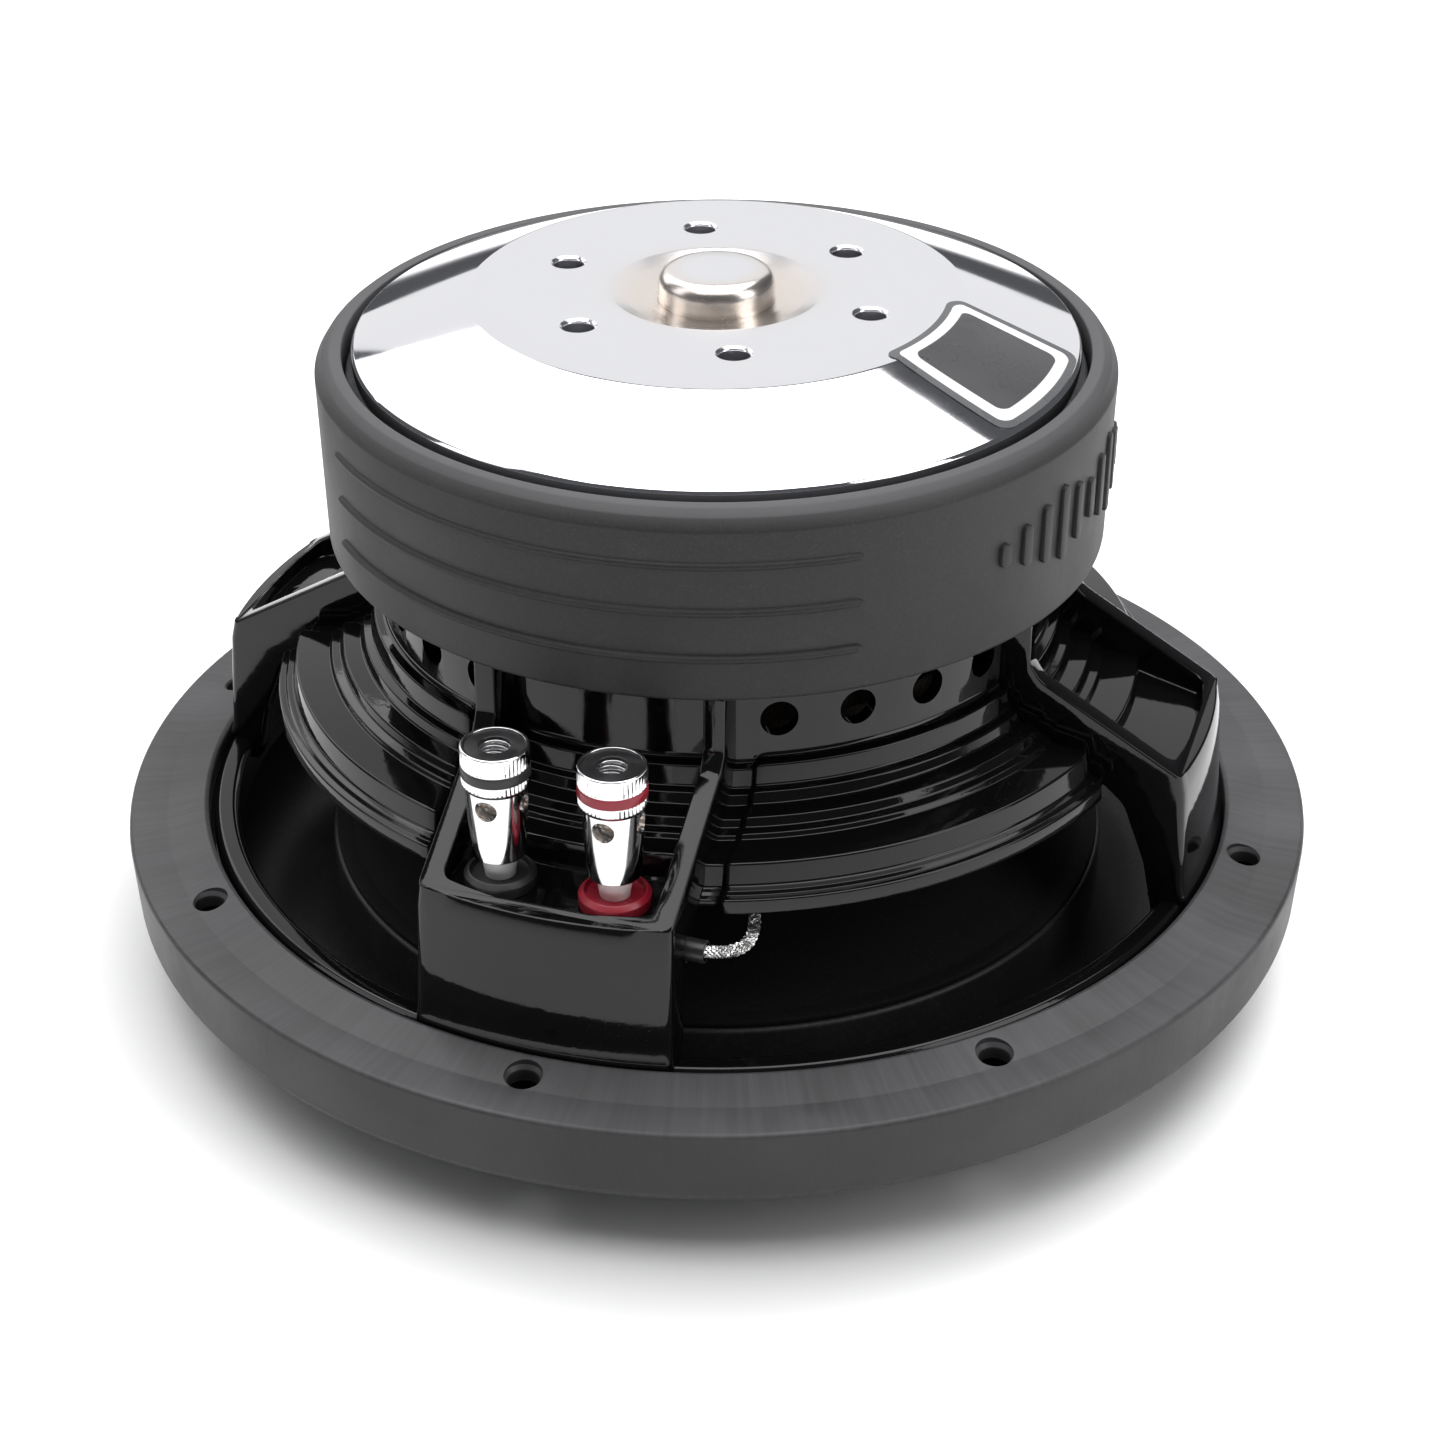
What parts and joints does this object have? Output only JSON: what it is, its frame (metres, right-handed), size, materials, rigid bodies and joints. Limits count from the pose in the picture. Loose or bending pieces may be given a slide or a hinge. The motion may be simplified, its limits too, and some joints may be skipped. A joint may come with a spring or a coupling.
{
  "type": "car subwoofer speaker",
  "caption": "Car subwoofer driver with spoked basket, chromed bumped motor in a rubber boot, push terminals and a high-roll surround; the cone slides in and out.",
  "frame": {"origin": "on the speaker's axis, at the surface that the roll of the surround stands on", "axes": "+Z along the speaker's axis out through the magnet, -Y towards the terminal spoke"},
  "size_m": [0.212, 0.212, 0.1248],
  "materials": {
    "gloss_black_casting": "high gloss black powder coat",
    "gasket_rubber": "satin moulded rubber with faint radial marks",
    "surround_rubber": "matt moulded rubber",
    "cone_paper": "matt pressed black pulp",
    "dust_cap_paper": "matt pressed black pulp",
    "spider_cloth": "resin-dipped woven cloth",
    "former_film": "amber film",
    "coil_wire": "enamelled copper",
    "plated_steel": "zinc plated",
    "ferrite": "ground dark ferrite",
    "chrome_plate": "mirror chrome",
    "boot_rubber": "fine grained matt rubber",
    "label_film": "printed film",
    "black_steel": "black oxide",
    "post_nickel": "nickel plated brass, worn at the mouth",
    "terminal_chrome": "mirror chrome",
    "black_plastic": "semi matt moulded plastic",
    "red_plastic": "semi gloss moulded plastic",
    "spring_steel": "drawn wire",
    "tab_brass": "bright",
    "tinsel_braid": "braided tinned wire"
  },
  "bodies": {
    "frame": {"basket_flange": "gloss_black_casting", "basket_bowl": "gloss_black_casting", "basket_neck": "gloss_black_casting", "spoke_terminal": "gloss_black_casting", "spoke_right": "gloss_black_casting", "spoke_rear": "gloss_black_casting", "spoke_left": "gloss_black_casting", "mounting_gasket": "gasket_rubber", "surround": "surround_rubber", "spider": "spider_cloth", "top_plate": "plated_steel", "magnet_front": "ferrite", "magnet_rear": "ferrite", "back_plate": "chrome_plate", "pole_piece": "chrome_plate", "magnet_boot": "boot_rubber", "rating_label": "label_film", "motor_screws": "black_steel", "terminal_post_black": "post_nickel", "terminal_post_red": "post_nickel", "return_spring_black": "spring_steel", "return_spring_red": "spring_steel", "insulator_black": "black_plastic", "insulator_red": "red_plastic", "lower_insulator_black": "black_plastic", "lower_insulator_red": "black_plastic", "solder_tab_black": "tab_brass", "solder_tab_red": "tab_brass", "terminal_nuts": "plated_steel", "tinsel_lead_black": "tinsel_braid", "tinsel_lead_red": "tinsel_braid", "lead_sleeve_black": "black_plastic", "lead_sleeve_red": "black_plastic"},
    "cone_assembly": {"cone": "cone_paper", "dust_cap": "dust_cap_paper", "voice_coil_former": "former_film", "voice_coil_winding": "coil_wire"},
    "push_terminal_black": {"push_sleeve_black": "terminal_chrome", "sleeve_ring_black": "black_plastic", "sleeve_cap_black": "black_plastic"},
    "push_terminal_red": {"push_sleeve_red": "terminal_chrome", "sleeve_ring_red": "red_plastic", "sleeve_cap_red": "black_plastic"}
  },
  "joints": [
    {"name": "cone_travel", "type": "slide", "parent": "frame", "child": "cone_assembly", "axis": [0, 0, 1], "range_m": [-0.009, 0.009], "stiffness_N_per_m": 5400, "deforming": ["surround", "spider", "tinsel_lead_black", "tinsel_lead_red"]},
    {"name": "push_black", "type": "slide", "parent": "frame", "child": "push_terminal_black", "axis": [0, 0, -1], "range_m": [0, 0.0032], "stiffness_N_per_m": 1500, "springref_m": -0.0015, "deforming": ["return_spring_black"]},
    {"name": "push_red", "type": "slide", "parent": "frame", "child": "push_terminal_red", "axis": [0, 0, -1], "range_m": [0, 0.0032], "stiffness_N_per_m": 1500, "springref_m": -0.0015, "deforming": ["return_spring_red"]}
  ]
}
